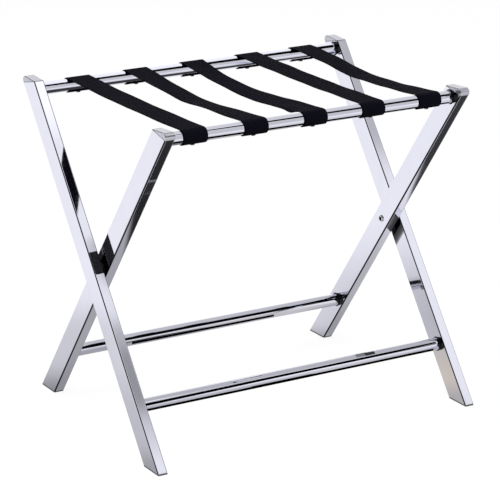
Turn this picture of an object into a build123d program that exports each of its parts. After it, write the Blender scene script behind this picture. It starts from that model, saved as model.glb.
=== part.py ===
from build123d import *
import os
from math import asin, atan, cos, degrees, hypot, radians, sin, tan

# Folding luggage rack: two crossing tube frames that turn on a pivot at each side, joined at the
# top by webbing straps. Millimetres. X runs along the rails, -Y is the front and +Z is up. The
# floor is Z = 0 and the middle of the footprint is the origin.

# Stance with the straps drawn out
overall_length = 620.0
lean = 36.9
pivot_height = 281.0
top_reach = 329.5
bottom_reach = 242.0
seam_reach = 344.0
seam_tilt = 24.0

# Leg tube: the broad face looks along X
leg_width = 40.0
leg_thickness = 18.0
leg_wall = 1.2
leg_corner = 2.0
leg_gap = 5.0

# Rail tube
rail_diameter = 22.0
rail_wall = 1.2

# Cap and foot plug
cap_lip = 0.6
cap_round = 7.5
cap_edge = 0.8
cap_floor = 3.0
foot_plate = 2.5
plug_depth = 16.0
plug_wall = 2.0
plug_clearance = 0.3

# Pivot hardware
bolt_diameter = 8.0
bolt_head_diameter = 11.0
bolt_head_height = 2.5
bolt_head_edge = 0.8
bolt_socket = 5.0
bolt_socket_depth = 1.8
bush_diameter = 12.0
spacer_diameter = 22.0
nut_across = 13.0
nut_height = 6.0
running_clearance = 0.05
seat_clearance = 0.05
bolt_hole_clearance = 0.3

# Webbing straps and the screws that hold their ends under the rails
strap_width = 44.0
strap_thickness = 1.6
strap_margin = 25.0
strap_clearance = 0.3
strap_tail = 25.0
taut_sag = 2.8
slack_sag = 10.2
loose_sag = 13.8
strap_sags = (taut_sag, slack_sag, loose_sag, taut_sag, slack_sag)
screw_diameter = 3.5
screw_head_diameter = 8.0
screw_head_height = 2.2
screw_length = 6.0
screw_hole_clearance = 0.3

# Places that follow from the sizes above
outer_x = overall_length / 2 - leg_thickness / 2
inner_x = outer_x - leg_thickness - leg_gap
outer_half = outer_x - leg_thickness / 2
inner_half = inner_x - leg_thickness / 2
rail_radius = rail_diameter / 2
top_y = top_reach * sin(radians(lean))
top_z = pivot_height + top_reach * cos(radians(lean))
bottom_y = bottom_reach * sin(radians(lean))
bottom_z = pivot_height - bottom_reach * cos(radians(lean))
foot_reach = pivot_height / cos(radians(lean))
seam_climb = leg_width * tan(radians(seam_tilt))
seam_low_end = seam_reach - seam_climb / 2
strap_end_x = inner_half - strap_margin - strap_width / 2
strap_pitch = 2 * strap_end_x / (len(strap_sags) - 1)
strap_xs = [k * strap_pitch - strap_end_x for k in range(len(strap_sags))]
left, right = -1, 1

# In a leg's own frame Z runs up the leg from the pivot. The seam plane faces up and forward.
seam_plane = Plane(
    origin=(0, 0, seam_reach),
    x_dir=(1, 0, 0),
    z_dir=(0, -sin(radians(seam_tilt)), cos(radians(seam_tilt))),
)


def stand(shape, x):
    """Lean a shape from a leg's own frame back at the pivot, x along the rack: the outer frame's way."""
    return Pos(x, 0, pivot_height) * Rot(-lean, 0, 0) * shape


def turned(shape):
    """The same shape leaning forward instead: the inner frame's way."""
    return mirror(shape, about=Plane.XZ)


def along_x(shape):
    """A shape of revolution about Z laid along X."""
    return Rot(0, 90, 0) * shape


def leg_prism(inset, low, high):
    """A bar from low to high up the leg: the leg's rounded outline, or with an inset the space inside it."""
    across = leg_thickness - 2 * inset
    along = leg_width - 2 * inset
    outline = Rectangle(across, along) if inset else RectangleRounded(across, along, leg_corner)
    return Pos(0, 0, low) * extrude(outline, amount=high - low)


def leg_tube():
    """A tube with its top cut to the cap seam and its foot end left long."""
    below = -foot_reach - leg_width
    tube = leg_prism(0, below, seam_reach + leg_width) - leg_prism(leg_wall, below, seam_reach + leg_width)
    return split(tube, bisect_by=seam_plane, keep=Keep.BOTTOM)


def on_floor(shape, height):
    """What is left of a shape above a level cut."""
    return split(shape, bisect_by=Plane.XY.offset(height), keep=Keep.TOP)


def outer_leg(side):
    """A leg of the outer frame, with one hole, in its inward wall, for the pivot bolt."""
    hole = along_x(Cylinder(bolt_diameter / 2 + bolt_hole_clearance, leg_thickness))
    return on_floor(stand(leg_tube() - Pos(-side * leg_thickness / 2, 0, 0) * hole, side * outer_x), foot_plate)


def inner_leg(side):
    """A leg of the inner frame, bored through both walls for the pivot bush."""
    hole = along_x(Cylinder(bush_diameter / 2 + seat_clearance, 2 * leg_thickness))
    return on_floor(turned(stand(leg_tube() - hole, side * inner_x)), foot_plate)


def cap_outline():
    """Side view of a cap, with room below the seam: above a lip its top runs straight from the low
    end of the seam up to a round, which meets the leg's outward face."""
    half_width = leg_width / 2
    low_end = (-half_width, seam_low_end + cap_lip)
    round_centre = (half_width - cap_round, seam_low_end + seam_climb + cap_lip)
    run = leg_width - cap_round
    top_slope = degrees(atan(seam_climb / run) + asin(cap_round / hypot(run, seam_climb)))
    outward_round = CenterArc(round_centre, cap_round, 0, 90 + top_slope)
    below = seam_reach - leg_width
    inward_side = Polyline(outward_round @ 1, low_end, (-half_width, below))
    outward_side = Polyline((-half_width, below), (half_width, below), outward_round @ 0)
    return make_face([outward_round, inward_side, outward_side])


def cap():
    """A cap with a straight top and a round outward end, with an open plug down the tube."""
    block = extrude(Plane.YZ * cap_outline(), amount=leg_thickness / 2, both=True)
    sides = block.faces().filter_by(Axis.X)
    brim = [edge for face in sides for edge in face.edges() if edge.center().Z > seam_low_end + cap_lip]
    block = chamfer(brim, cap_edge)
    dome = split(block, bisect_by=seam_plane, keep=Keep.TOP)
    dome = dome & leg_prism(0, seam_reach - leg_width, seam_reach + leg_width)
    inset = leg_wall + plug_clearance
    low = seam_low_end - plug_depth
    plug = split(leg_prism(inset, low, seam_reach + leg_width), bisect_by=seam_plane, keep=Keep.BOTTOM)
    hollow = split(
        leg_prism(inset + plug_wall, low, seam_reach + leg_width),
        bisect_by=seam_plane.offset(-cap_floor),
        keep=Keep.BOTTOM,
    )
    return dome + (plug - hollow)


def foot(side_x):
    """A foot plug: a plate cut level with the floor, with an open plug up the tube."""
    below = -foot_reach - leg_width
    inset = leg_wall + plug_clearance
    high = plug_depth - foot_reach
    plate = stand(leg_prism(0, below, high), side_x)
    plate = split(plate, bisect_by=Plane.XY.offset(foot_plate), keep=Keep.BOTTOM)
    sleeve = leg_prism(inset, below, high) - leg_prism(inset + plug_wall, below, high)
    return on_floor(plate, 0) + on_floor(stand(sleeve, side_x), foot_plate)


def rail(half_length, y, z, screw_holes):
    """A rail tube between two legs, holed underneath where a strap is screwed on."""
    tube = Cylinder(rail_radius, 2 * half_length) - Cylinder(rail_radius - rail_wall, 2 * half_length)
    tube = Pos(0, y, z) * along_x(tube)
    for x in screw_holes:
        tube -= Pos(x, y, z - rail_radius) * Cylinder(screw_diameter / 2 + seat_clearance, rail_wall * 4)
    return tube


def pivot_bolt(side):
    """A low socket-headed bolt, its head on the inner leg's inward face and its end in the nut."""
    length = outer_half + leg_wall + nut_height - inner_half
    shank = Cylinder(bolt_diameter / 2, length, align=(Align.CENTER, Align.CENTER, Align.MIN))
    head = Cylinder(
        bolt_head_diameter / 2, bolt_head_height, align=(Align.CENTER, Align.CENTER, Align.MAX)
    )
    head = chamfer(head.edges().sort_by(Axis.Z)[0], bolt_head_edge)
    socket = extrude(RegularPolygon(bolt_socket / 2, 6, major_radius=False), amount=bolt_socket_depth)
    bolt = shank + head - Pos(0, 0, -bolt_head_height) * socket
    return Pos(side * inner_half, 0, pivot_height) * Rot(0, side * 90, 0) * bolt


def pivot_bush(side):
    """A sleeve as long as the inner leg is thick, turning on the bolt."""
    sleeve = Cylinder(bush_diameter / 2, leg_thickness)
    sleeve -= Cylinder(bolt_diameter / 2 + running_clearance, leg_thickness)
    return Pos(side * inner_x, 0, pivot_height) * along_x(sleeve)


def pivot_spacer(side):
    """A thick washer that keeps the two legs apart."""
    washer = Cylinder(spacer_diameter / 2, leg_gap)
    washer -= Cylinder(bolt_diameter / 2 + bolt_hole_clearance, leg_gap)
    return Pos(side * (outer_half - leg_gap / 2), 0, pivot_height) * along_x(washer)


def pivot_nut(side):
    """A hexagon nut inside the outer leg, on its inward wall."""
    nut = extrude(RegularPolygon(nut_across / 2, 6, major_radius=False), amount=nut_height)
    nut -= Pos(0, 0, nut_height / 2) * Cylinder(bolt_diameter / 2 + running_clearance, nut_height)
    return Pos(side * (outer_half + leg_wall), 0, pivot_height) * Rot(0, side * 90, 0) * nut


def strap_half(x, sag):
    """Half of a strap, at the back rail: its end goes round the rail from below, leaves the rail
    tangentially and runs in an arc, centred above, to the strap's level middle."""
    rail_centre = (top_y, top_z)
    inner_radius = rail_radius + strap_clearance
    outer_radius = inner_radius + strap_thickness
    middle_radius = (inner_radius + outer_radius) / 2
    centres_apart = (top_y**2 + sag**2) / (2 * sag)
    sag_radius = centres_apart - middle_radius
    sag_centre = (0, top_z + centres_apart - sag)
    swing = degrees(atan(top_y / (centres_apart - sag)))
    upper_radius = sag_radius - strap_thickness / 2
    lower_radius = sag_radius + strap_thickness / 2
    tail_angle = -90 - strap_tail
    wrap = 180 + swing + strap_tail
    outer_wrap = CenterArc(rail_centre, outer_radius, tail_angle, wrap)
    inner_wrap = CenterArc(rail_centre, inner_radius, tail_angle, wrap)
    upper_run = CenterArc(sag_centre, upper_radius, -90, swing)
    lower_run = CenterArc(sag_centre, lower_radius, -90, swing)
    tail_end = Line(inner_wrap @ 0, outer_wrap @ 0)
    middle_end = Line(upper_run @ 0, lower_run @ 0)
    band = make_face([outer_wrap, upper_run, middle_end, lower_run, inner_wrap, tail_end])
    strip = extrude(Plane.YZ * band, amount=strap_width / 2, both=True)
    hole = Pos(0, top_y, top_z - inner_radius) * Cylinder(
        screw_diameter / 2 + screw_hole_clearance, strap_thickness * 4
    )
    return Pos(x, 0, 0) * (strip - hole)


def strap_screws():
    """The screws under the back rail, one to a strap, each head against the webbing."""
    seat = top_z - rail_radius - strap_clearance - strap_thickness
    head = Cylinder(screw_head_diameter / 2, screw_head_height, align=(Align.CENTER, Align.CENTER, Align.MAX))
    shank = Cylinder(screw_diameter / 2, screw_length, align=(Align.CENTER, Align.CENTER, Align.MIN))
    screw = head + shank
    return Compound(children=[Pos(x, top_y, seat) * screw for x in strap_xs])


def save(shape, node):
    export_step(shape, f"parts/{node}.step")


os.makedirs("parts", exist_ok=True)

for side, word in ((left, "left"), (right, "right")):
    save(outer_leg(side), f"outer_leg_{word}")
    save(inner_leg(side), f"inner_leg_{word}")
    save(stand(cap(), side * outer_x), f"outer_cap_{word}")
    save(turned(stand(cap(), side * inner_x)), f"inner_cap_{word}")
    save(foot(side * outer_x), f"outer_foot_{word}")
    save(turned(foot(side * inner_x)), f"inner_foot_{word}")
    save(pivot_bolt(side), f"pivot_bolt_{word}")
    save(pivot_bush(side), f"pivot_bush_{word}")
    save(pivot_spacer(side), f"pivot_spacer_{word}")
    save(pivot_nut(side), f"pivot_nut_{word}")

save(rail(outer_half, top_y, top_z, strap_xs), "back_top_rail")
save(rail(inner_half, -top_y, top_z, strap_xs), "front_top_rail")
save(rail(outer_half, -bottom_y, bottom_z, []), "front_bottom_rail")
save(rail(inner_half, bottom_y, bottom_z, []), "back_bottom_rail")

for number, (x, sag) in enumerate(zip(strap_xs, strap_sags), start=1):
    half = strap_half(x, sag)
    save(half, f"strap_{number}_back")
    save(turned(half), f"strap_{number}_front")

save(strap_screws(), "strap_screws_back")
save(turned(strap_screws()), "strap_screws_front")
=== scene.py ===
import bmesh
import bpy
import numpy as np
from bpy.props import FloatProperty, FloatVectorProperty, IntProperty, PointerProperty
from bpy.types import Operator, Panel, PropertyGroup
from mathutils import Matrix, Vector


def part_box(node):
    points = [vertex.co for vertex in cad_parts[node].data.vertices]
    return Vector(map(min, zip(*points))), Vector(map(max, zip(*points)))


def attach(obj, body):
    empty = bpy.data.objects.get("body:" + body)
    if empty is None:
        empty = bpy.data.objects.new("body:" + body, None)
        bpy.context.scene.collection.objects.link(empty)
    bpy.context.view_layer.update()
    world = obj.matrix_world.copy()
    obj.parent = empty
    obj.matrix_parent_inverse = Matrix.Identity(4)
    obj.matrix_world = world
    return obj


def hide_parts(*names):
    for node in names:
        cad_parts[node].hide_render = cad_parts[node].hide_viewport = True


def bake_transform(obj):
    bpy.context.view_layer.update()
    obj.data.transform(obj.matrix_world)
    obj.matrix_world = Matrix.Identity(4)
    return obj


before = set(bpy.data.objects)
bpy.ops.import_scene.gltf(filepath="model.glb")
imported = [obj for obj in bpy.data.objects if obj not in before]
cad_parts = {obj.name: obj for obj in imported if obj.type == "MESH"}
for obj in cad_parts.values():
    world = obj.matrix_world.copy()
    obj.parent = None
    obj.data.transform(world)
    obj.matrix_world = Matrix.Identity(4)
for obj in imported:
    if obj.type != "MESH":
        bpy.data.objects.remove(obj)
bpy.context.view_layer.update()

bl_info = {
    "name": "Folding Luggage Rack",
    "version": (1, 0, 0),
    "blender": (4, 5, 0),
    "location": "View3D > Sidebar > Rack",
    "description": "Dresses a chrome luggage rack with webbing straps around its packed frame",
    "category": "Object",
}

STRAPS = range(1, 6)
SIDES = ("left", "right")
LEGS = [f"{ring}_leg_{side}" for ring in ("outer", "inner") for side in SIDES]
CAPS = [node.replace("leg", "cap") for node in LEGS]
FEET = [node.replace("leg", "foot") for node in LEGS]
RAIL_BODY = {
    "back_top_rail": "outer_frame",
    "front_bottom_rail": "outer_frame",
    "front_top_rail": "inner_frame",
    "back_bottom_rail": "inner_frame",
}

# Rail, frame and side of each half of a strap
STRAP_ENDS = {
    "back": ("back_top_rail", "outer_frame", 1.0),
    "front": ("front_top_rail", "inner_frame", -1.0),
}

# How straps hang. Fall is the power with which one sinks towards mid-span, shelf is how strongly it first
# holds level and curl is how far its left edge dips near the rail, each at the back and at the front; roll
# and twist are shares of the largest ones. A strap that isn't listed hangs plainly.
PLAIN_HANG = {"fall": (2.0, 2.0), "shelf": (1.0, 1.0), "curl": (0.0, 0.0), "roll": 0.0, "twist": 0.0}
STRAP_HANG = {
    2: {"fall": (1.45, 1.35), "roll": 1.0},
    3: {"fall": (2.0, 1.4), "curl": (0.0, 0.0036), "twist": 1.0},
    5: {"fall": (1.4, 1.9), "shelf": (2.0, 1.0), "roll": 0.55},
}

# Where a curl lies and how far it spreads, in shares of the way from the rail to mid-span
CURL_PLACE = 0.17
CURL_SPREAD = 0.08

# The last share of that way, in which a rolled strap's raised edge comes down level
ROLL_END = 0.45

# How far a strap goes round its rail from the top, in degrees, with its end under the rail
TAIL_TURN = 220.0

# Half waves along a strap's edges, how many more each next strap has, and the shift between the two edges
WAVE_COUNT = 2.0
WAVE_MORE = 0.5
WAVE_SHIFT = 0.7

# Turns in which a strap's slope and the place where it leaves its rail settle
SETTLE_TURNS = 12

# Grid steps
LINE_STEPS = 64
WIDTH_STEPS = 25
EDGE_STEPS = 8
CLOSE_STEPS = 6
BEAD_STEPS = 96
BEAD_SECTION_STEPS = 9
SCREW_STEPS = 48
CROWN_STEPS = 18

# Weld bead: how much its ripples swell it and how deep its root sinks into the rail, as shares of its size
BEAD_SWELL = 0.12
BEAD_ROOT = 0.1

# Screw head: its rim's share of its height, and its cross's half width and reach as shares of its radius
HEAD_RIM = 0.45
CROSS_ARM = 0.16
CROSS_REACH = 0.62


def box_centre(node):
    """Middle of a CAD node's box at rest, in metres."""
    low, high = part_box(node)
    return (np.array(low) + np.array(high)) / 2


def box_size(node):
    """Edge lengths of a CAD node's box at rest, in metres."""
    low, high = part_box(node)
    return np.array(high) - np.array(low)


def node_points(node):
    """A CAD node's vertices as an array of rows."""
    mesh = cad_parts[node].data
    flat = np.empty(3 * len(mesh.vertices), dtype=np.float32)
    mesh.vertices.foreach_get("co", flat)
    return flat.reshape(-1, 3).astype(float)


# What colours and shares have in common
COLOUR = {"subtype": "COLOR", "min": 0.0, "max": 1.0}
SHARE = {"subtype": "FACTOR", "min": 0.0, "max": 1.0}


class RackSizes(PropertyGroup):
    """Sizes of the pieces that are made here."""

    webbing_thickness: FloatProperty(
        name="Webbing Thickness", description="Thickness of a strap", default=0.0016, unit="LENGTH"
    )
    strap_roll: FloatProperty(
        name="Strap Roll", description="How far the most tipped strap leans to one side at mid-span",
        default=-0.14, subtype="ANGLE",
    )
    strap_twist: FloatProperty(
        name="Strap Twist",
        description="How far the twisted strap leans one way in front and the other way behind",
        default=0.085, subtype="ANGLE",
    )
    strap_ripple: FloatProperty(
        name="Strap Ripple", description="Height of the slow wave along a strap's edges",
        default=0.0005, unit="LENGTH",
    )
    # Painted shade: the dark line at a cap's seam stands in for the shadow in the gap between cap and tube
    cap_seam: FloatProperty(
        name="Cap Seam", description="Height of the dark line where a cap meets its leg",
        default=0.0015, unit="LENGTH",
    )
    leg_corner: FloatProperty(
        name="Leg Corner", description="Radius of a leg tube's corners", default=0.002, unit="LENGTH"
    )
    # Painted shade on the legs' chrome: how far the dark between the crossing legs reaches, standing in for
    # the gap's shade
    inner_gap_shade_margin: FloatProperty(
        name="Inner Gap Margin",
        description="How far the dark between crossing legs reaches out on the inner leg",
        default=0.005, unit="LENGTH",
    )
    outer_gap_shade_margin: FloatProperty(
        name="Outer Gap Margin",
        description="How far the dark between crossing legs reaches out on the outer leg",
        default=0.019, unit="LENGTH",
    )
    # Painted shade round a rail's end, standing in for the rail's dark mirror image in the leg's face
    painted_joint_shade: FloatProperty(
        name="Joint Shade", description="Length of the dark at a rail's end, in rail diameters", default=1.6
    )
    bead_size: FloatProperty(
        name="Bead Size", description="Leg of the weld bead round a rail's end", default=0.0018, unit="LENGTH"
    )
    bead_ripples: IntProperty(name="Bead Ripples", description="Ripples round one weld bead", default=26)
    # Painted shade on a pivot bolt's head: the black middle darkens the socket and the head round it
    socket_radius: FloatProperty(
        name="Socket Radius", description="Radius of the dark middle of a pivot bolt's head",
        default=0.0046, unit="LENGTH",
    )
    screw_recess: FloatProperty(
        name="Screw Recess", description="Depth of the cross in a screw head", default=0.0008, unit="LENGTH"
    )


class RackFinishes(PropertyGroup):
    """Colours and gloss of the rack's materials."""

    chrome_tint: FloatVectorProperty(
        name="Chrome Tint", description="Colour that the plated tube reflects",
        default=(0.79, 0.795, 0.90), **COLOUR,
    )
    # Painted shade along the legs' rounded corners, standing in for the dark that the corners reflect
    painted_edge_shade: FloatProperty(
        name="Edge Shade", description="How much darker the plating is along a leg's rounded corners",
        default=0.92, **SHARE,
    )
    # Painted shade: the beads' near-black stands in for the dark where each rail meets its leg
    bead_shade_colour: FloatVectorProperty(
        name="Bead Colour", description="Dull metal of the weld beads",
        default=(0.012, 0.012, 0.013), **COLOUR,
    )
    cap_colour: FloatVectorProperty(
        name="Cap Colour", description="Satin silver of the leg caps",
        default=(0.51, 0.515, 0.575), **COLOUR,
    )
    foot_colour: FloatVectorProperty(
        name="Foot Colour", description="Moulded plastic of the foot plugs",
        default=(0.085, 0.100, 0.095), **COLOUR,
    )
    steel_colour: FloatVectorProperty(
        name="Steel Colour", description="Zinc-plated steel of the nuts and screws",
        default=(0.52, 0.52, 0.53), **COLOUR,
    )
    nylon_colour: FloatVectorProperty(
        name="Nylon Colour", description="Moulded nylon of the bushes and spacers",
        default=(0.03, 0.03, 0.032), **COLOUR,
    )
    webbing_colour: FloatVectorProperty(
        name="Webbing Colour", description="Dyed yarn of the straps",
        default=(0.0050, 0.0048, 0.0100), **COLOUR,
    )
    weave_pitch: FloatProperty(
        name="Weave Pitch", description="Length of one weft row", default=0.0013, unit="LENGTH"
    )
    hem_width: FloatProperty(
        name="Hem Width", description="Width of the close weave along a strap's edges",
        default=0.0016, unit="LENGTH",
    )
    chevron_width: FloatProperty(
        name="Chevron Width", description="Width across which the weave slants one way",
        default=0.0050, unit="LENGTH",
    )


class RackStage(PropertyGroup):
    """Camera, floor, light and the cards that the chrome reflects."""

    camera_azimuth: FloatProperty(
        name="Camera Azimuth", description="Turn of the camera about the rack, from straight in front",
        default=np.radians(-30.594), subtype="ANGLE",
    )
    camera_elevation: FloatProperty(
        name="Camera Elevation", description="Height of the camera as an angle",
        default=np.radians(17.731), subtype="ANGLE",
    )
    camera_distance: FloatProperty(
        name="Camera Distance", description="From the target to the camera", default=4.2578, unit="LENGTH"
    )
    camera_target: FloatVectorProperty(
        name="Camera Target", description="Point in the middle of the picture",
        default=(0.00138, 0.00194, 0.2654), subtype="TRANSLATION",
    )
    camera_lens: FloatProperty(
        name="Camera Lens", description="Focal length on a 36 mm sensor, in mm", default=179.15
    )
    floor_size: FloatProperty(name="Floor Size", description="Edge of the floor", default=14.0, unit="LENGTH")
    floor_glow: FloatProperty(
        name="Floor Glow",
        description="Share of plain white in the floor as the camera and the chrome see it",
        default=0.86, **SHARE,
    )
    floor_white: FloatProperty(name="Floor White", description="Strength of that plain white", default=1.04)
    fill_strength: FloatProperty(
        name="Fill Strength", description="Light of the white surround on matt surfaces", default=0.62
    )
    key_power: FloatProperty(
        name="Key Power", description="Power of the soft overhead lamp", default=85.0, unit="POWER"
    )
    room_shade: FloatProperty(
        name="Room Shade", description="Brightness of the dark card in front of the rack",
        default=0.02, subtype="FACTOR",
    )
    ceiling_shade: FloatProperty(
        name="Ceiling Shade", description="Brightness of the grey card overhead",
        default=0.56, subtype="FACTOR",
    )


# Object and mesh helpers


def new_object(name, data):
    """An object for a mesh, a camera or a lamp, in the scene."""
    made = bpy.data.objects.new(name, data)
    bpy.context.scene.collection.objects.link(made)
    return made


def grid_faces(rows, columns):
    """Quads of a grid of points, as an array of indices; the columns close on themselves."""
    r, c = np.meshgrid(np.arange(rows - 1), np.arange(columns), indexing="ij")
    nxt = (c + 1) % columns
    corners = (r * columns + c, r * columns + nxt, (r + 1) * columns + nxt, (r + 1) * columns + c)
    return np.stack(corners, axis=-1).reshape(-1, 4)


def surface(name, points, uv=None):
    """A mesh object from a grid of points (rows, columns, 3), its doubles merged and its faces turned
    outwards. uv gives each grid point's place in the pattern, in metres, as (rows, columns, 2)."""
    faces = grid_faces(*points.shape[:2])
    mesh = bpy.data.meshes.new(name)
    mesh.from_pydata(points.reshape(-1, 3), [], faces)
    if uv is not None:
        layer = mesh.uv_layers.new(name="UVMap")
        layer.data.foreach_set("uv", uv.reshape(-1, 2)[faces.ravel()].astype(np.float32).ravel())
    return finished(name, mesh)


def finished(name, mesh):
    """Merge a mesh's doubles, point its faces outwards, shade it smooth and put it in the scene."""
    work = bmesh.new()
    work.from_mesh(mesh)
    bmesh.ops.remove_doubles(work, verts=work.verts, dist=1e-7)
    bmesh.ops.dissolve_degenerate(work, edges=work.edges, dist=1e-8)
    bmesh.ops.recalc_face_normals(work, faces=work.faces)
    work.to_mesh(mesh)
    work.free()
    mesh.shade_smooth()
    mesh.update()
    return new_object(name, mesh)


def dress(node, material):
    """Give a CAD node its finish."""
    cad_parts[node].material_slots[0].material = material


# Material helpers


class Nodes:
    """The node tree of a material or a world, with short ways to add and join nodes."""

    def __init__(self, name, kind="materials"):
        self.owner = getattr(bpy.data, kind).new(name)
        self.owner.use_nodes = True
        self.tree = self.owner.node_tree
        self.shader = self.tree.nodes.get("Principled BSDF")

    def add(self, kind, **settings):
        node = self.tree.nodes.new(kind)
        for key, value in settings.items():
            setattr(node, key, value)
        return node

    def link(self, source, target):
        self.tree.links.new(source, target)

    def put(self, value, socket):
        """Set a socket to a number or to a colour of three numbers, or join another socket to it."""
        if isinstance(value, tuple):
            socket.default_value = (*value, 1.0)
        elif isinstance(value, (int, float)):
            socket.default_value = value
        else:
            self.link(value, socket)

    def give(self, kind, output, values, **settings):
        """Add a node, fill its named inputs and give one of its outputs."""
        node = self.add(kind, **settings)
        for name, value in values.items():
            self.put(value, node.inputs[name])
        return node.outputs[output]

    def math(self, operation, *values):
        """A Math node on sockets or plain numbers."""
        node = self.add("ShaderNodeMath", operation=operation)
        for socket, value in zip(node.inputs, values):
            self.put(value, socket)
        return node.outputs[0]

    def coordinates(self, output="Object"):
        return self.add("ShaderNodeTexCoord").outputs[output]

    def axes(self, output="Object"):
        """The separate coordinates of a place."""
        node = self.add("ShaderNodeSeparateXYZ")
        self.link(self.coordinates(output), node.inputs[0])
        return node.outputs[0], node.outputs[1], node.outputs[2]

    def noise(self, vector, scale, detail):
        return self.give("ShaderNodeTexNoise", "Fac", {"Vector": vector, "Scale": scale, "Detail": detail})

    def between(self, factor, low, high):
        """A factor from 0 to 1 mapped to a range."""
        return self.give("ShaderNodeMapRange", "Result", {"Value": factor, "To Min": low, "To Max": high})

    def ramp(self, value, start, end, low=0.0, high=1.0):
        """A smooth step from low to high as a value goes from start to end."""
        if start > end:
            start, end, low, high = end, start, high, low
        values = {"Value": value, "From Min": start, "From Max": end, "To Min": low, "To Max": high}
        return self.give("ShaderNodeMapRange", "Result", values, interpolation_type="SMOOTHSTEP")

    def product(self, *factors):
        """All factors multiplied."""
        total = factors[0]
        for factor in factors[1:]:
            total = self.math("MULTIPLY", total, factor)
        return total

    def squares(self, first, second):
        """The sum of two squares."""
        return self.math("ADD", self.math("MULTIPLY", first, first), self.math("MULTIPLY", second, second))

    def distance(self, first, second):
        """Length of an offset from its two parts."""
        return self.math("SQRT", self.squares(first, second))

    def mix(self, factor, first, second):
        """A colour between two, each a socket or three numbers."""
        values = {"Factor": factor, "A": first, "B": second}
        return self.give("ShaderNodeMix", "Result", values, data_type="RGBA")

    def bump(self, height, strength, distance):
        values = {"Height": height, "Strength": strength, "Distance": distance}
        return self.give("ShaderNodeBump", "Normal", values)

    def paint(self, colour, roughness, normal):
        """Join what was made to the shader."""
        for socket, source in (("Base Color", colour), ("Roughness", roughness), ("Normal", normal)):
            self.link(source, self.shader.inputs[socket])
        return self.owner

    def set(self, **values):
        for key, value in values.items():
            self.shader.inputs[key.replace("_", " ")].default_value = value

    def show(self, shader):
        """Join a shader to the material's output."""
        self.link(shader, self.tree.nodes["Material Output"].inputs["Surface"])
        return self.owner

    def mix_shaders(self, *sources):
        """One shader by a share of another: the share, then the two."""
        node = self.add("ShaderNodeMixShader")
        for socket, source in zip(node.inputs, sources):
            self.link(source, socket)
        return node.outputs[0]

    def glow(self, strength, colour=(1.0, 1.0, 1.0)):
        """A plain glow of a brightness and a colour."""
        return self.give("ShaderNodeEmission", "Emission", {"Strength": strength, "Color": colour})


def shades(colour, low, high):
    """Two tones of one colour."""
    return tuple(c * low for c in colour), tuple(min(1.0, c * high) for c in colour)


def shared(name, make, *arguments):
    """A material by name, made the first time it is asked for."""
    return bpy.data.materials.get(name) or make(name, *arguments)


def chrome_finish(name, finishes, shade=None):
    """Mirror plating: a slow waviness from the drawn tube, faint polishing haze and almost no roughness.
    shade takes the node helper and gives the share of painted shade by which the plating is made darker."""
    made = Nodes(name)
    place = made.coordinates()
    haze = made.noise(place, scale=34.0, detail=4.0)
    slow = made.noise(place, scale=9.0, detail=1.0)
    colour = made.mix(haze, *shades(finishes.chrome_tint, 0.97, 1.03))
    if shade is not None:
        # Painted shade: the plating's colour goes towards black by that share
        colour = made.mix(shade(made), colour, (0.0, 0.0, 0.0))
    made.set(Metallic=1.0)
    wavy = made.bump(slow, strength=0.35, distance=0.0009)
    return made.paint(colour, made.between(haze, 0.025, 0.065), wavy)


def leg_lean():
    """Height of the pivot and the angle by which the legs lean."""
    pivot = box_centre("pivot_bolt_left")[2]
    rail = box_centre("back_top_rail")
    return pivot, np.arctan2(abs(rail[1]), rail[2] - pivot)


# Width of the painted shade line along a leg's corner and of its soft side, in corner radii
CORNER_LINE = {"outer": 0.9, "inner": 1.4}
CORNER_SOFT = 0.3

# Depths under a leg's broad face, in corner radii, between which that line and the face's painted shade set
# in
CORNER_RIM = (0.9, 0.6)
FACE_RIM = (0.6, 0.2)

# How far the painted shade at a crossing lies to the front of the other leg's middle, its rim, the share of
# its margin where it is full, and its least share
GAP_SHIFT = {"outer": 0.003, "inner": 0.0}
GAP_RIM = 0.001
GAP_FULL = 0.25
GAP_LEAST = 0.7

# Painted shade at a rail's end, for the rail's dark mirror image in the leg: its lean up towards the front,
# its shift ahead and rim in rail radii, and its depth
JOINT_LEAN = np.radians(20.0)
JOINT_SHIFT = 0.75
JOINT_RIM = 1.1
JOINT_DEPTH = 0.985


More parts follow.
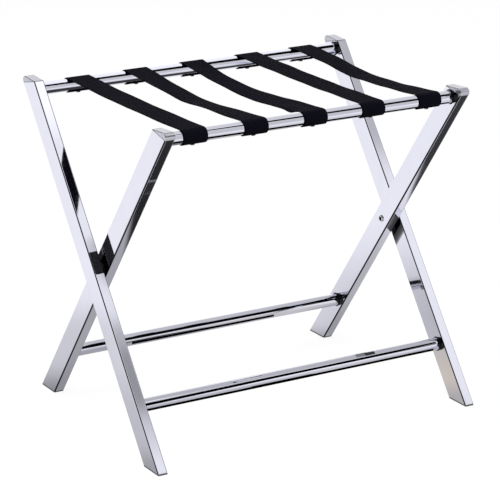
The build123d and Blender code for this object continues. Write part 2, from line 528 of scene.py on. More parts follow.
def painted_leg_shade(node, other, sizes, depth):
    """Painted shade over a leg's plating, standing in for the dark that the chrome shows: along its rounded
    corners, from the distance to its broad and its narrow faces, where it faces the other leg across the
    narrow gap at their crossing, and round the ends of its rails, where the rail's mirror image lies. An
    inner leg has painted dark corners only along its front, which looks down."""
    pivot, lean = leg_lean()
    ring = node.split("_")[0]
    outer = ring == "outer"
    own = lean if outer else -lean
    points = node_points(node)
    across = -np.cos(own) * points[:, 1] + np.sin(own) * (points[:, 2] - pivot)
    half_width = np.percentile(np.abs(across), 99)
    middle, half_thickness = abs(box_centre(node)[0]), box_size(node)[0] / 2
    facing = np.sign(abs(box_centre(other)[0]) - middle)
    corner = sizes.leg_corner
    line = half_width - corner * CORNER_LINE[ring]
    margin = sizes.outer_gap_shade_margin if outer else sizes.inner_gap_shade_margin
    edge = half_width + margin

    def shade(made):
        x, y, z = made.axes()
        out = made.math("SUBTRACT", made.math("ABSOLUTE", x), middle)

        def along(angle, centre_y=0.0, centre_z=pivot):
            """Distance from a centre along a line that rises to the front by an angle."""
            ahead, up = -np.cos(angle), np.sin(angle)
            offset = made.math("MULTIPLY_ADD", y, ahead, -centre_y * ahead - centre_z * up)
            return made.math("MULTIPLY_ADD", z, up, offset)

        def off_middle(value, start, end):
            """A step between two depths under a broad face, in corner radii."""
            return made.ramp(value, half_thickness - start * corner, half_thickness - end * corner)

        def on_face(way):
            return off_middle(made.math("MULTIPLY", out, way), *FACE_RIM)

        forward = along(own)
        if outer:
            forward = made.math("ABSOLUTE", forward)
        near_narrow = made.ramp(forward, line, line + CORNER_SOFT * corner)
        near_broad = off_middle(made.math("ABSOLUTE", out), *CORNER_RIM)
        dark = made.product(near_narrow, near_broad, depth if outer else JOINT_DEPTH)
        crossing = made.math("ABSOLUTE", made.math("SUBTRACT", along(-own), GAP_SHIFT[ring]))
        gap = made.product(
            on_face(facing),
            depth,
            made.ramp(crossing, edge, edge - GAP_RIM),
            made.ramp(crossing, edge, half_width + GAP_FULL * margin, GAP_LEAST, 1.0),
        )
        dark = made.math("MAXIMUM", dark, gap)
        for rail, body in RAIL_BODY.items():
            if not body.startswith(ring):
                continue
            place = box_centre(rail)[1:]
            radius = box_size(rail)[1] / 2
            ahead = made.math("SUBTRACT", along(JOINT_LEAN, *place), JOINT_SHIFT * radius)
            aside = along(JOINT_LEAN + np.pi / 2, *place)
            away = made.distance(made.math("DIVIDE", ahead, sizes.painted_joint_shade), aside)
            joint = made.ramp(away, JOINT_RIM * radius, radius, 0.0, JOINT_DEPTH)
            dark = made.math("MAXIMUM", dark, made.product(on_face(-1.0), joint))
        return dark

    return shade


def bead_finish(name, finishes):
    """Weld metal painted near black, darker than the tube as painted shade where rail meets leg; a little
    rough, with fine scale.
    """
    made = Nodes(name)
    scale = made.noise(made.coordinates(), scale=600.0, detail=3.0)
    made.set(Metallic=1.0)
    return made.paint(
        made.mix(scale, *shades(finishes.bead_shade_colour, 0.6, 1.4)),
        made.between(scale, 0.28, 0.45),
        made.bump(scale, strength=0.3, distance=0.0003),
    )


def cap_finish(name, finishes, leg, seam):
    """Satin silver moulding: fine grain under a thin clear gloss, with painted shade in the fine seam where
    it meets the tube, for the shadow in the gap there. The seam's plane is the line through the tube's cut
    end."""
    pivot, _ = leg_lean()
    points = node_points(leg)
    cut = points[points[:, 2] > pivot + 0.6 * (points[:, 2].max() - pivot)]
    slope, level = np.polyfit(cut[:, 1], cut[:, 2], 1)
    made = Nodes(name)
    place = made.coordinates()
    _, y, z = made.axes()
    above = made.math("SUBTRACT", made.math("MULTIPLY_ADD", y, -slope, z), level)
    # Painted shade: near the seam the silver gives way to a near-black tone of the cap colour
    open_face = made.ramp(made.math("MULTIPLY", above, np.cos(np.arctan(slope))), 0.4 * seam, seam)
    grain = made.noise(place, scale=900.0, detail=3.0)
    cloud = made.noise(place, scale=60.0, detail=2.0)
    silver = made.mix(cloud, *shades(finishes.cap_colour, 0.92, 1.06))
    made.set(Metallic=0.85, Coat_Weight=0.15, Coat_Roughness=0.25)
    return made.paint(
        made.mix(open_face, shades(finishes.cap_colour, 0.08, 1.0)[0], silver),
        made.between(cloud, 0.16, 0.26),
        made.bump(grain, strength=0.08, distance=0.0002),
    )


FOOT_ROUGHNESS = 0.55
NYLON_ROUGHNESS = 0.5


def plastic_finish(name, colour, roughness):
    """Moulded plastic: mould-texture grain with slow changes of tone."""
    made = Nodes(name)
    place = made.coordinates()
    grain = made.noise(place, scale=700.0, detail=4.0)
    cloud = made.noise(place, scale=45.0, detail=2.0)
    return made.paint(
        made.mix(cloud, *shades(colour, 0.85, 1.2)),
        made.between(grain, roughness - 0.08, roughness + 0.08),
        made.bump(grain, strength=0.25, distance=0.0003),
    )


# Black of the painted shade in a pivot bolt's socket and on the head round it
SOCKET_SHADE_BLACK = (0.012, 0.012, 0.014)


def steel_finish(name, tint, shade_radius=0.0):
    """Plated steel of the fasteners: a slightly cloudy plating. Bolts get painted shade, black inside a
    radius round the pivot, that darkens the socket and the head round it."""
    made = Nodes(name)
    place = made.coordinates()
    cloud = made.noise(place, scale=220.0, detail=3.0)
    fine = made.noise(place, scale=1500.0, detail=2.0)
    colour = made.mix(cloud, *shades(tint, 0.88, 1.08))
    if shade_radius:
        pivot, _ = leg_lean()
        _, y, z = made.axes()
        away = made.distance(y, made.math("SUBTRACT", z, pivot))
        colour = made.mix(made.ramp(away, 0.8 * shade_radius, shade_radius), SOCKET_SHADE_BLACK, colour)
    made.set(Metallic=1.0)
    grain = made.bump(fine, strength=0.10, distance=0.0002)
    return made.paint(colour, made.between(cloud, 0.24, 0.40), grain)


def webbing_finish(name, finishes, width):
    """Woven webbing on UVs in metres: weft rows that slant one way and then the other across the strap, with
    a warp thread between, closer and darker along both edges, with soft sheen and a little uneven dye."""
    made = Nodes(name)
    across, along, _ = made.axes("UV")
    turns = 2 * np.pi / finishes.weave_pitch
    slant = made.math("PINGPONG", across, finishes.chevron_width)
    phase = made.math("MULTIPLY", made.math("ADD", along, slant), turns)
    weft = made.between(made.math("SINE", phase), 0.5, 1.0)
    warp = made.between(made.math("SINE", made.math("MULTIPLY", across, turns)), 0.5, 1.0)
    yarn = made.math("MULTIPLY", weft, warp)
    dye = made.noise(made.coordinates(), scale=40.0, detail=3.0)
    from_edge = made.math("PINGPONG", across, width / 2)
    hem = made.ramp(from_edge, 0.5 * finishes.hem_width, 1.5 * finishes.hem_width)
    tone = made.product(yarn, made.between(dye, 0.75, 1.0), made.between(hem, 0.25, 1.0))
    made.set(Sheen_Weight=0.004, Sheen_Roughness=0.4, Specular_IOR_Level=0.02)
    return made.paint(
        made.mix(tone, *shades(finishes.webbing_colour, 0.2, 1.5)),
        made.between(dye, 0.70, 0.90),
        made.bump(yarn, strength=0.8, distance=0.0004),
    )


def plated_steel():
    return shared("plated_steel", steel_finish, bpy.context.scene.rack_finishes.steel_colour)


# Surfaces


def weld_bead(name, centre, radius, leg, inward, ripples):
    """Ring in the corner between a rail and a leg. Its section is a hollow quarter round from the leg's face
    to the rail's skin; its size swells and shrinks round the rail in even ripples."""
    turn = np.linspace(0, 2 * np.pi, BEAD_STEPS, endpoint=False)
    bend = np.linspace(0, np.pi / 2, BEAD_SECTION_STEPS)
    swell = leg * (1 + BEAD_SWELL * np.cos(ripples * turn))
    off_face = np.concatenate([1 - np.cos(bend), [0.0, 0.0]])
    off_skin = np.concatenate([1 - np.sin(bend), [-BEAD_ROOT, 0.0]])
    out = radius + swell[:, None] * off_skin[None, :]
    x = centre[0] + inward * swell[:, None] * off_face[None, :]
    y = centre[1] + out * np.cos(turn)[:, None]
    z = centre[2] + out * np.sin(turn)[:, None]
    ring = np.stack([x, y, z], axis=-1)
    return surface(name, np.concatenate([ring, ring[:1]], axis=0))


def strap_line(rail, rail_radius, thickness, middle_z, fall, shelf):
    """Middle line of a strap's half in the plane across the rails, from its end under the rail to mid-span.
    It follows a circle round the rail and leaves it where circle and span have one slope. The height of the
    span over mid-span is its drop times 1 - (1 - s to the power of fall) to the power of shelf, where s is
    the share of the way left to mid-span. Gives inward distance from the rail, height, and unit normal."""
    radius = rail_radius + thickness / 2
    reach = abs(rail[1])
    leave = 0.0
    for _ in range(SETTLE_TURNS):
        run = reach - radius * np.sin(leave)
        drop = rail[2] + radius * np.cos(leave) - middle_z
        leave = np.arctan(fall * drop / run) if shelf == 1.0 else 0.0
    turn = np.linspace(-np.radians(TAIL_TURN), leave, LINE_STEPS)
    wrap = np.stack([radius * np.sin(turn), rail[2] + radius * np.cos(turn)], axis=-1)
    wrap_normal = np.stack([np.sin(turn), np.cos(turn)], axis=-1)
    left = np.linspace(1, 0, LINE_STEPS + 1)[1:]
    height = middle_z + drop * (1 - (1 - left**fall) ** shelf)
    slope = drop / run * shelf * (1 - left**fall) ** (shelf - 1) * fall * left ** (fall - 1)
    span = np.stack([reach - run * left, height], axis=-1)
    span_normal = np.stack([slope, np.ones_like(slope)], axis=-1) / np.hypot(slope, 1.0)[:, None]
    return np.concatenate([wrap, span]), np.concatenate([wrap_normal, span_normal])


def strap_half(
    name, rail, sign, x, width, rail_radius, thickness, middle_z, fall, shelf, curl, roll, twist, ripple, beat
):
    """Half of a strap as a flat oval section carried along strap_line. The section tips about the line by
    roll, most at mid-span, and by twist, most halfway there. Towards mid-span a parabola across the strap
    brings the edge that the roll raised back level, so that the two halves clear each other when folded. A
    slow wave lifts the edges, and the left one dips by curl near the rail. Both ends close: cut square under
    the rail and half round at mid-span, where the other half begins."""
    line, normal = strap_line(rail, rail_radius, thickness, middle_z, fall, shelf)
    share = np.clip(line[:, 0] / abs(rail[1]), 0, 1)
    step = np.hypot(*np.diff(line, axis=0).T)
    length = np.concatenate([[0], np.cumsum(step)])

    # The cut end repeats the first ring with no thickness; mid-span adds rings that close in a half round
    close = np.linspace(0, np.pi / 2, CLOSE_STEPS)[1:]
    rows = np.concatenate([[0], np.arange(len(line)), np.full(len(close), len(line) - 1)])
    fat = np.concatenate([[0], np.ones(len(line)), np.cos(close)])
    past = np.concatenate([np.zeros(len(line) + 1), thickness / 2 * np.sin(close)])
    line, normal, share, length = line[rows], normal[rows], share[rows], length[rows] + past
    line = line + np.stack([past, np.zeros_like(past)], axis=-1)

    # Section: across the top, round one edge, back along the bottom, round the other
    flat = np.linspace(-1, 1, WIDTH_STEPS)
    edge = np.linspace(np.pi / 2, -np.pi / 2, EDGE_STEPS)[1:-1]
    straight = width / 2 - thickness / 2
    rim = straight + thickness / 2 * np.cos(edge)
    over = np.concatenate([flat * straight, rim, -flat * straight, -rim])
    level = np.ones_like(flat)
    high = np.concatenate([level, np.sin(edge), -level, -np.sin(edge)]) * thickness / 2

    rolled = roll * np.sin(share * np.pi / 2) ** 2
    tip = rolled - sign * twist * np.sin(share * np.pi)
    near = 1 - np.clip((1 - share) / ROLL_END, 0, 1)
    lowered = np.sin(rolled) * near * near * (3 - 2 * near)
    bow = (width / 2 - over) ** 2 / (2 * width)
    lean = over[None, :] * np.sin(tip)[:, None] + lowered[:, None] * bow[None, :]
    phase = beat * np.pi * share[:, None] + WAVE_SHIFT * np.sign(over)[None, :]
    wave = np.sin(share * np.pi)[:, None] * np.sin(phase)
    bell = np.exp(-(((share - CURL_PLACE) / CURL_SPREAD) ** 2))
    dip = bell[:, None] * np.clip(-2 * over / width, 0, 1)[None, :] ** 2
    rise = ripple * wave * (np.abs(over) / (width / 2))[None, :] ** 3 - curl * dip
    up = fat[:, None] * high[None, :] + rise + lean
    side = x + over[None, :] * np.cos(tip)[:, None]
    inward = line[:, :1] + normal[:, :1] * up
    height = line[:, 1:] + normal[:, 1:] * up
    points = np.stack([side, rail[1] - sign * inward, height], axis=-1)
    weave = (over[None, :] + width / 2, sign * (length[-1] - length)[:, None])
    uv = np.stack(np.broadcast_arrays(*weave), axis=-1)
    return surface(name, points, uv), float(length[-1])


def pan_head(name, places, seat, radius, height, shank, shank_length, recess):
    """Screws with their heads down: a low dome turned about a vertical axis, its crown sunk in a cross, on a
    shank. One profile, from the dome's pole round its edge and up the shank, is spun for every place."""
    turn = np.linspace(0, 2 * np.pi, SCREW_STEPS, endpoint=False)
    crown = np.linspace(0, np.pi / 2, CROWN_STEPS)
    dome = -height * (HEAD_RIM + (1 - HEAD_RIM) * np.cos(crown))
    r = np.concatenate([radius * np.sin(crown), [radius, shank, shank, 0.0]])
    z = np.concatenate([dome, [0.0, 0.0, shank_length, shank_length]])
    px = r[:, None] * np.cos(turn)[None, :]
    py = r[:, None] * np.sin(turn)[None, :]
    on_dome = (np.arange(len(r)) < len(crown))[:, None]
    in_arm = np.minimum(np.abs(px), np.abs(py)) < radius * CROSS_ARM
    in_reach = np.maximum(np.abs(px), np.abs(py)) < radius * CROSS_REACH
    pz = z[:, None] + recess * (in_arm & in_reach & on_dome)
    one = np.stack([px, py, pz], axis=-1)
    faces = grid_faces(*one.shape[:2])
    count = one.shape[0] * one.shape[1]
    offsets = np.array([(x, y, seat) for x, y in places])
    points = (one.reshape(1, -1, 3) + offsets[:, None, :]).reshape(-1, 3)
    mesh = bpy.data.meshes.new(name)
    mesh.from_pydata(points, [], np.concatenate([faces + k * count for k in range(len(places))]))
    return finished(name, mesh)


# Operators


class RACK_OT_tubes(Operator):
    """Plate the legs and rails, with painted shade on the legs"""

    bl_idname = "rack.tubes"
    bl_label = "Plate Tubes"

    def execute(self, context):
        sizes, finishes = context.scene.rack_sizes, context.scene.rack_finishes
        # Each leg's chrome carries painted shade along its corners, at the crossing and round its rails' ends
        for node in LEGS:
            other = LEGS[(LEGS.index(node) + 2) % len(LEGS)]
            shade = painted_leg_shade(node, other, sizes, finishes.painted_edge_shade)
            dress(node, shared(node.split("_")[0] + "_leg_chrome", chrome_finish, finishes, shade))
        for node in RAIL_BODY:
            dress(node, shared("polished_chrome", chrome_finish, finishes))
        return {"FINISHED"}


class RACK_OT_weld_beads(Operator):
    """Run a weld bead round each end of each rail"""

    bl_idname = "rack.weld_beads"
    bl_label = "Weld Rails"

    def execute(self, context):
        sizes = context.scene.rack_sizes
        for node, body in RAIL_BODY.items():
            centre = box_centre(node)
            length, diameter = box_size(node)[:2]
            for side, outward in zip(SIDES, (-1.0, 1.0)):
                place = centre + np.array([outward * length / 2, 0, 0])
                bead = weld_bead(
                    f"{node}_bead_{side}", place, diameter / 2, sizes.bead_size, -outward, sizes.bead_ripples
                )
                # The beads' finish is near-black painted shade where each rail meets its leg
                bead.data.materials.append(shared("weld_metal", bead_finish, context.scene.rack_finishes))
                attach(bead, body)
        return {"FINISHED"}


class RACK_OT_caps(Operator):
    """Finish the leg caps"""

    bl_idname = "rack.caps"
    bl_label = "Finish Caps"

    def execute(self, context):
        finishes, seam = context.scene.rack_finishes, context.scene.rack_sizes.cap_seam
        for node, leg in zip(CAPS, LEGS):
            dress(node, shared("satin_" + node.rsplit("_", 1)[0], cap_finish, finishes, leg, seam))
        return {"FINISHED"}


class RACK_OT_feet(Operator):
    """Finish the foot plugs"""

    bl_idname = "rack.feet"
    bl_label = "Finish Feet"

    def execute(self, context):
        colour = context.scene.rack_finishes.foot_colour
        for node in FEET:
            dress(node, shared("foot_plastic", plastic_finish, colour, FOOT_ROUGHNESS))
        return {"FINISHED"}


class RACK_OT_pivots(Operator):
    """Finish the pivot bolts, nuts, bushes and spacers"""

    bl_idname = "rack.pivots"
    bl_label = "Finish Pivots"

    def execute(self, context):
        finishes = context.scene.rack_finishes
        bright = shades(finishes.chrome_tint, 1, 1.2)[1]
        # The bolts' finish carries painted shade in their sockets and on the heads round them
        bolt = shared("pivot_steel", steel_finish, bright, context.scene.rack_sizes.socket_radius)
        nylon = shared("moulded_nylon", plastic_finish, finishes.nylon_colour, NYLON_ROUGHNESS)
        for side in SIDES:
            dress(f"pivot_bolt_{side}", bolt)
            dress(f"pivot_nut_{side}", plated_steel())
            dress(f"pivot_bush_{side}", nylon)
            dress(f"pivot_spacer_{side}", nylon)
        return {"FINISHED"}


class RACK_OT_straps(Operator):
    """Weave the straps over the top rails"""

    bl_idname = "rack.straps"
    bl_label = "Weave Straps"

    def execute(self, context):
        sizes = context.scene.rack_sizes
        weave_width = box_size("strap_1_back")[0]
        cloth = shared("black_webbing", webbing_finish, context.scene.rack_finishes, weave_width)
        thickness = sizes.webbing_thickness
        for number in STRAPS:
            hang = PLAIN_HANG | STRAP_HANG.get(number, {})
            for half, (end, (rail_node, frame_body, sign)) in enumerate(STRAP_ENDS.items()):
                node = f"strap_{number}_{end}"
                solid = node_points(node)
                rail = box_centre(rail_node)
                x, width = box_centre(node)[0], box_size(node)[0]
                clear = rail[2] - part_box(node)[0][2] - thickness
                middle_z = solid[np.abs(solid[:, 1]) < 1e-5, 2].mean()
                piece, length = strap_half(
                    f"webbing_{number}_{end}", rail, sign, x, width, clear, thickness, middle_z,
                    *(hang[key][half] for key in ("fall", "shelf", "curl")),
                    roll=hang["roll"] * sizes.strap_roll,
                    twist=hang["twist"] * sizes.strap_twist,
                    ripple=sizes.strap_ripple * sign,
                    beat=WAVE_COUNT + WAVE_MORE * number,
                )
                piece.data.materials.append(cloth)
                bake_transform(piece)
                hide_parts(node)
        return {"FINISHED"}


class RACK_OT_strap_screws(Operator):
    """Turn the screws that hold the straps' ends under the rails"""

    bl_idname = "rack.strap_screws"
    bl_label = "Turn Strap Screws"

    def execute(self, context):
        for end, (rail_node, frame_body, _) in STRAP_ENDS.items():
            node = f"strap_screws_{end}"
            points = node_points(node)
            low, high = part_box(node)
            rail = box_centre(rail_node)
            places = [(box_centre(f"strap_{n}_{end}")[0], rail[1]) for n in STRAPS]
            radius = (high[1] - low[1]) / 2
            shank = np.abs(points[points[:, 2] > high[2] - 1e-5][:, 1] - rail[1]).max()
            seat = np.unique(points[:, 2].round(6))[1]
            piece = pan_head(
                f"pan_screws_{end}", places, seat, radius, seat - low[2], shank, high[2] - seat,
                context.scene.rack_sizes.screw_recess,
            )
            piece.data.materials.append(plated_steel())
            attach(piece, frame_body)
            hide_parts(node)
        return {"FINISHED"}


class RACK_OT_stage(Operator):
    """Set the camera, the white floor, the light and the cards that the chrome reflects"""

    bl_idname = "rack.stage"
    bl_label = "Set Stage"

    def execute(self, context):
        scene = context.scene
        stage = scene.rack_stage
        scene.view_settings.view_transform = "Standard"
        set_camera(scene, stage)
        set_world(scene, stage)
        set_floor(stage)
        set_light(stage)
        set_cards(stage)
        set_flags(stage)
        return {"FINISHED"}


# Stage

FLOOR_TONE = (0.92, 0.92, 0.92, 1.0)
FLOOR_LEVEL = -0.0006
CAMERA_REACH = 50.0
LAMP_PLACE = (-0.8, -0.8, 3.2)
LAMP_SIZE = 3.0


def card(name, corners, material):
    """A stage card from its four corners, with UVs from corner to corner."""
    mesh = bpy.data.meshes.new(name)
    mesh.from_pydata(corners, [], [(0, 1, 2, 3)])
    layer = mesh.uv_layers.new(name="UVMap")
    layer.data.foreach_set("uv", (0.0, 0.0, 1.0, 0.0, 1.0, 1.0, 0.0, 1.0))
    mesh.materials.append(material)
    made = new_object(name, mesh)
    return made


def plane(name, centre, along, across, material):
    """A flat card given by its middle and its two half edges."""
    c, a, b = (np.array(v, dtype=float) for v in (centre, along, across))
    return card(name, np.array([c - a - b, c + a - b, c + a + b, c - a + b]), material)


def mirror_only(made):
    """Hide a card from everything but mirrors."""
    for rays in ("camera", "diffuse", "shadow", "transmission"):
        setattr(made, f"visible_{rays}", False)


def set_camera(scene, stage):
    data = bpy.data.cameras.new("rack_camera")
    data.lens = stage.camera_lens
    data.clip_end = CAMERA_REACH
    camera = new_object("rack_camera", data)
    turn, lift = stage.camera_azimuth, stage.camera_elevation
    away = Vector((np.sin(turn) * np.cos(lift), -np.cos(turn) * np.cos(lift), np.sin(lift)))
    camera.location = Vector(stage.camera_target) + away * stage.camera_distance
    camera.rotation_euler = (-away).to_track_quat("-Z", "Y").to_euler()
    scene.camera = camera


def seen_directly(made):
    """Socket that is 1 for rays from the camera, a mirror or glass."""
    rays = made.add("ShaderNodeLightPath").outputs
    seen = made.math("MAXIMUM", rays["Is Camera Ray"], rays["Is Glossy Ray"])
    return made.math("MAXIMUM", seen, rays["Is Transmission Ray"])


def set_world(scene, stage):
    """White all round as the camera and the chrome see it, and a plain fill for matt surfaces."""
    made = Nodes("white_surround", "worlds")
    scene.world = made.owner
    made.tree.nodes.clear()
    fill, white = (
        made.give("ShaderNodeBackground", "Background", {"Color": (1.0, 1.0, 1.0), "Strength": strength})
        for strength in (stage.fill_strength, 1.0)
    )
    out = made.add("ShaderNodeOutputWorld")
    made.link(made.mix_shaders(seen_directly(made), fill, white), out.inputs["Surface"])


def set_floor(stage):
    """A pale floor that keeps the rack's shadow under a share of plain white."""
    made = Nodes("white_floor")
    made.set(Base_Color=FLOOR_TONE, Roughness=1.0, Specular_IOR_Level=0.0)
    share = made.math("MULTIPLY", seen_directly(made), stage.floor_glow)
    mixed = made.mix_shaders(share, made.shader.outputs[0], made.glow(stage.floor_white))
    half = stage.floor_size / 2
    plane("floor", (0, 0, FLOOR_LEVEL), (half, 0, 0), (0, half, 0), made.show(mixed))


def set_light(stage):
    data = bpy.data.lights.new("soft_overhead", "AREA")
    data.energy = stage.key_power
    data.shape = "RECTANGLE"
    data.size = data.size_y = LAMP_SIZE
    lamp = new_object("soft_overhead", data)
    lamp.location = LAMP_PLACE
    lamp.rotation_euler = (-Vector(LAMP_PLACE)).to_track_quat("-Z", "Y").to_euler()
    lamp.visible_glossy = False


def card_material(name, shade, soft):
    """A card of one brightness whose rim fades to the white round it over a share of its size."""
    made = Nodes(name)
    rims = ((0, soft), (1, 1 - soft))
    inside = made.product(*(made.ramp(edge, *rim) for edge in made.axes("UV")[:2] for rim in rims))
    return made.show(made.glow(made.math("MULTIPLY_ADD", inside, shade - 1.0, 1.0)))


# Ground card: its level; middle, reach and tone of the grey under the rack; from where to where it goes
# darker towards the front, and to which share; between which distances it fades to white
GROUND_LEVEL = -0.0003
GROUND_GREY = (-0.12, 0.05, 0.70, 0.42)
GROUND_FRONT = (-0.20, -0.30, 0.78)
GROUND_FADE = (1.2, 2.0)

# Soft shadows on the ground card: middle x and y, reach, depth
GROUND_BLOBS = (
    (-0.30, -0.20, 0.08, 0.40),
    (0.29, -0.20, 0.08, 0.40),
    (-0.28, 0.20, 0.08, 0.42),
    (0.30, 0.18, 0.07, 0.50),
    (-0.48, 0.46, 0.16, 0.21),
    (0.40, 0.08, 0.12, 0.40),
)

# Dark fields on the ground card: x and y limits, rim, and the slope and start of a slanting left side
GROUND_FIELDS = (
    (-0.30, 0.10, -0.245, -0.012, 0.012, 2.3, -0.1283),
    (0.36, 0.69, -0.245, 0.040, 0.012, 1.59, 0.4707),
)
FIELD_DEPTH = 0.955

# Warm patch on the ground card: middle x and y, reach, colour
GROUND_WARMTH = (0.22, -0.08, 0.13, (1.0, 0.90, 0.74))


def ground_material():
    """What the chrome sees of the floor near the rack: grey under it, fading to white, with soft shadows
    round the feet, dark fields where the room's dark side shows, and a warm patch."""
    made = Nodes("ground_card")
    x, y, _ = made.axes()

    def parts(cx, cy):
        return made.math("SUBTRACT", x, cx), made.math("SUBTRACT", y, cy)

    def blob(cx, cy, reach):
        return made.math("EXPONENT", made.math("MULTIPLY", made.squares(*parts(cx, cy)), -1.0 / reach**2))

    grey_x, grey_y, reach, tone = GROUND_GREY
    front, far_front, front_share = GROUND_FRONT
    light = made.ramp(made.distance(*parts(grey_x, grey_y)), 0.0, reach, tone, 1.0)
    light = made.product(light, made.ramp(y, front, far_front, 1.0, front_share))
    for *place, depth in GROUND_BLOBS:
        light = made.product(light, made.math("MULTIPLY_ADD", blob(*place), -depth, 1.0))
    for x0, x1, y0, y1, rim, slope, foot in GROUND_FIELDS:
        slant = made.math("MULTIPLY_ADD", y, 1 / slope, x)
        inside = made.product(
            made.ramp(x, x0, x0 + rim), made.ramp(x, x1, x1 - rim), made.ramp(y, y0, y0 + rim),
            made.ramp(y, y1, y1 - rim), made.ramp(slant, foot - rim / 2, foot + rim / 2),
        )
        light = made.product(light, made.math("MULTIPLY_ADD", inside, -FIELD_DEPTH, 1.0))
    fade = made.ramp(made.distance(x, y), *GROUND_FADE)
    light = made.math("ADD", made.product(light, made.math("SUBTRACT", 1.0, fade)), fade)
    *place, warm = GROUND_WARMTH
    return made.show(made.glow(light, made.mix(blob(*place), (1.0, 1.0, 1.0), warm)))


# Flags close to the rails: x limits, lower and upper edge of the band that the camera sees of it at its left
# and at its right end, in rail radii above the rail's middle line, and brightness
RAIL_FLAGS = {
    "front_bottom_rail": (
        ((-0.30, 0.284), (-0.17, 0.23), (0.12, 0.37), 0.0),
        ((-0.30, 0.278), (-1.00, -0.60), (-1.00, -0.60), 0.0),
        ((-0.30, -0.122), (0.45, 0.90), (0.46, 0.90), 0.55),
        ((-0.066, 0.121), (0.47, 0.90), (0.49, 0.90), 0.55),
        ((0.121, 0.139), (0.47, 0.90), (0.47, 0.90), 0.24),
        ((0.139, 0.159), (0.44, 0.90), (0.44, 0.90), 0.05),
        ((0.159, 0.270), (0.49, 0.90), (0.50, 0.90), 0.55),
    ),
    "back_bottom_rail": (
        ((-0.28, 0.244), (0.09, 0.40), (0.09, 0.36), 0.0),
        ((0.225, 0.256), (0.06, 0.30), (-0.05, 0.24), 0.0),
        ((-0.28, 0.240), (0.46, 0.90), (0.42, 0.90), 0.62),
        ((-0.16, 0.13), (-0.80, -0.42), (-0.80, -0.45), 0.0),
    ),
    "front_top_rail": (
        ((-0.28, 0.00), (0.41, 0.49), (0.17, 0.43), 0.0),
        ((0.00, 0.262), (0.16, 0.42), (0.13, 0.42), 0.0),
        ((-0.28, 0.262), (-0.25, 0.36), (-0.25, 0.06), 0.66),
        ((-0.28, 0.262), (-0.76, -0.48), (-0.96, -0.78), 0.0),
        ((-0.28, 0.262), (0.54, 0.92), (0.46, 0.92), 0.76),
    ),
    "back_top_rail": (
        ((-0.30, 0.286), (0.16, 0.40), (0.14, 0.56), 0.0),
        ((-0.30, 0.286), (-0.25, 0.13), (-0.25, 0.10), 0.68),
        ((-0.30, 0.286), (0.45, 0.95), (0.62, 0.95), 1.10),
        ((-0.30, 0.286), (-0.86, -0.45), (-0.80, -0.60), 0.05),
    ),
}
FLAG_REACH = 0.004


def flag_corner(rail, x, share, stage):
    """Place beside a rail that its mirror shows at x and at a share of its radius above its middle line. The
    skin there faces asin(share) above the line of sight and throws that line on at twice the angle, while X
    drifts on."""
    radius = box_size(rail)[1] / 2
    turn, lift = stage.camera_azimuth, stage.camera_elevation
    sight = np.arctan2(np.sin(lift), np.cos(lift) * np.cos(turn))
    faces = np.arcsin(share) + sight
    thrown = 2 * faces - sight
    sideways = -np.sin(turn) * np.cos(lift)
    drift = FLAG_REACH * sideways / np.sqrt(1 - sideways**2)
    skin = radius * np.array([-np.cos(faces), np.sin(faces)])
    place = box_centre(rail)[1:] + skin + FLAG_REACH * np.array([-np.cos(thrown), np.sin(thrown)])
    return x + drift, *place


def set_flags(stage):
    """Narrow cards beside the rails, each one plain brightness, that only mirrors see."""
    rows = [(rail, *row) for rail, flags in RAIL_FLAGS.items() for row in flags]
    for number, (rail, (x0, x1), (low0, high0), (low1, high1), shade) in enumerate(rows):
        places = ((x0, low0), (x1, low1), (x1, high1), (x0, high0))
        corners = [flag_corner(rail, x, share, stage) for x, share in places]
        name = f"rail_flag_{number}"
        made = Nodes(name)
        mirror_only(card(name, corners, made.show(made.glow(shade))))


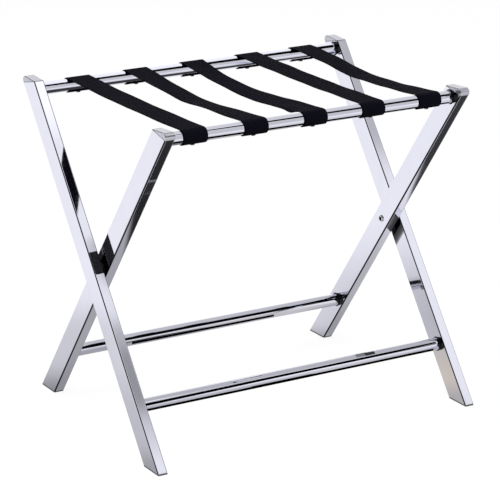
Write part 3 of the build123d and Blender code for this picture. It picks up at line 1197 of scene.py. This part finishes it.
def set_cards(stage):
    """Cards that only mirrors see: the ground round the rack, the dark room in front, behind and to the left,
    the lamp's rim, a grey ceiling with a bright part, and a small one over the front bottom rail."""
    room = card_material("room_card", stage.room_shade, 0.10)
    room_top = card_material("room_top_card", 0.10, 0.2)
    rim = card_material("lamp_rim_card", 0.35, 0.40)
    low = card_material("low_card", 0.03, 0.01)
    bright = card_material("bright_card", 1.25, 0.2)
    ceiling = card_material("ceiling_card", stage.ceiling_shade, 0.13)
    rows = (
        ("ground_card", (0, 0, GROUND_LEVEL), (2.0, 0, 0), (0, 2.0, 0), ground_material()),
        ("room_card", (0.05, -4.0, 2.6), (3.4, 0, 0), (0, 0, 1.65), room),
        ("room_left_card", (-2.6, -4.05, 3.2), (2.4, 0, 0), (0, 0, 3.0), room),
        ("room_top_card", (3.5, -4.1, 5.0), (0.6, 0, 0), (0, 0, 1.3), room_top),
        ("side_card", (-3.3, -2.0, 3.6), (0, 3.6, 0), (0, 0, 3.4), room),
        ("back_card", (-1.6, 4.0, 3.0), (1.7, 0, 0), (0, 0, 1.6), room),
        ("lamp_rim_card", (2.6, -3.9, 4.75), (0.45, 0, 0), (0, 0, 0.6), rim),
        ("low_card", (-0.125, -0.1475, 0.1585), (0.02, 0, 0), (0, 0.0092, 0), low),
        ("bright_card", (0.75, -0.95, 2.57), (0.35, 0, 0), (0, 0.3, 0), bright),
        ("ceiling_card", (0.9, 1.2, 2.6), (3.0, 0, 0), (0, 1.6, 0), ceiling),
        ("ceiling_front_card", (2.25, -0.7, 2.59), (1.3, 0, 0), (0, 0.9, 0), ceiling),
    )
    for row in rows:
        mirror_only(plane(*row))


class RACK_PT_sidebar(Panel):
    """Lists the rack's settings and steps"""

    bl_idname = "RACK_PT_sidebar"
    bl_label = "Luggage Rack"
    bl_space_type = "VIEW_3D"
    bl_region_type = "UI"
    bl_category = "Rack"

    def draw(self, context):
        for group, settings in GROUPS.items():
            box = self.layout.box()
            box.label(text=group.__doc__)
            for name in group.__annotations__:
                box.prop(getattr(context.scene, settings), name)
        for step in STEPS:
            self.layout.operator(step.bl_idname)


GROUPS = {RackSizes: "rack_sizes", RackFinishes: "rack_finishes", RackStage: "rack_stage"}
STEPS = (
    RACK_OT_tubes, RACK_OT_weld_beads, RACK_OT_caps, RACK_OT_feet, RACK_OT_pivots, RACK_OT_straps,
    RACK_OT_strap_screws, RACK_OT_stage,
)


def register():
    for kind in (*GROUPS, *STEPS, RACK_PT_sidebar):
        bpy.utils.register_class(kind)
    for group, name in GROUPS.items():
        setattr(bpy.types.Scene, name, PointerProperty(type=group))


def unregister():
    for name in GROUPS.values():
        delattr(bpy.types.Scene, name)
    for kind in reversed((*GROUPS, *STEPS, RACK_PT_sidebar)):
        bpy.utils.unregister_class(kind)


def main():
    register()
    for step in STEPS:
        family, name = step.bl_idname.split(".")
        getattr(getattr(bpy.ops, family), name)()


if __name__ == "__main__":
    main()
